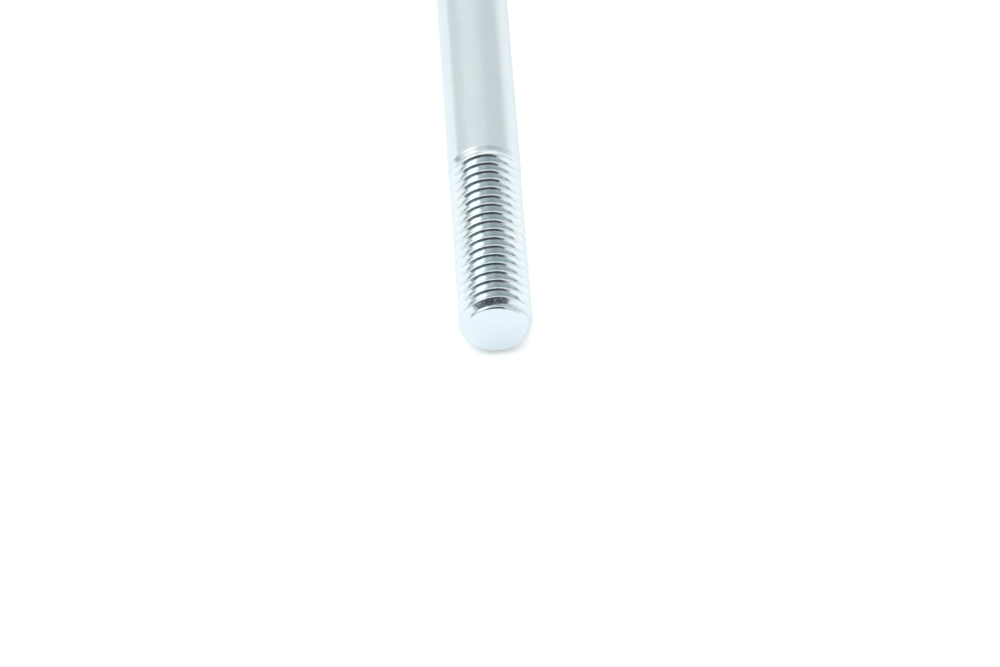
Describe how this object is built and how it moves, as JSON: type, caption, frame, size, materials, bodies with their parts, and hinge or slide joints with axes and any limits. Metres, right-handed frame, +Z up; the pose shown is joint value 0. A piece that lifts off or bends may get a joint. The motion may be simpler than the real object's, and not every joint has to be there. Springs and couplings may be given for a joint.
{
  "type": "hexagon head bolt",
  "caption": "Hexagon head bolt with a plain shank and a right-hand thread that ends in a chamfered flat point, lying on its side.",
  "frame": {"origin": "centre of the bolt's footprint on the ground that it lies on", "axes": "+Z up; the bolt lies along Y with its point toward -Y and its head toward +Y; +X is to the right seen from the point"},
  "size_m": [0.015, 0.0856, 0.0131],
  "materials": {
    "zinc_plate": "bright zinc plating with a bluish tint, smooth shank, rolled thread"
  },
  "bodies": {
    "root": {"bolt": "zinc_plate"}
  },
  "joints": []
}
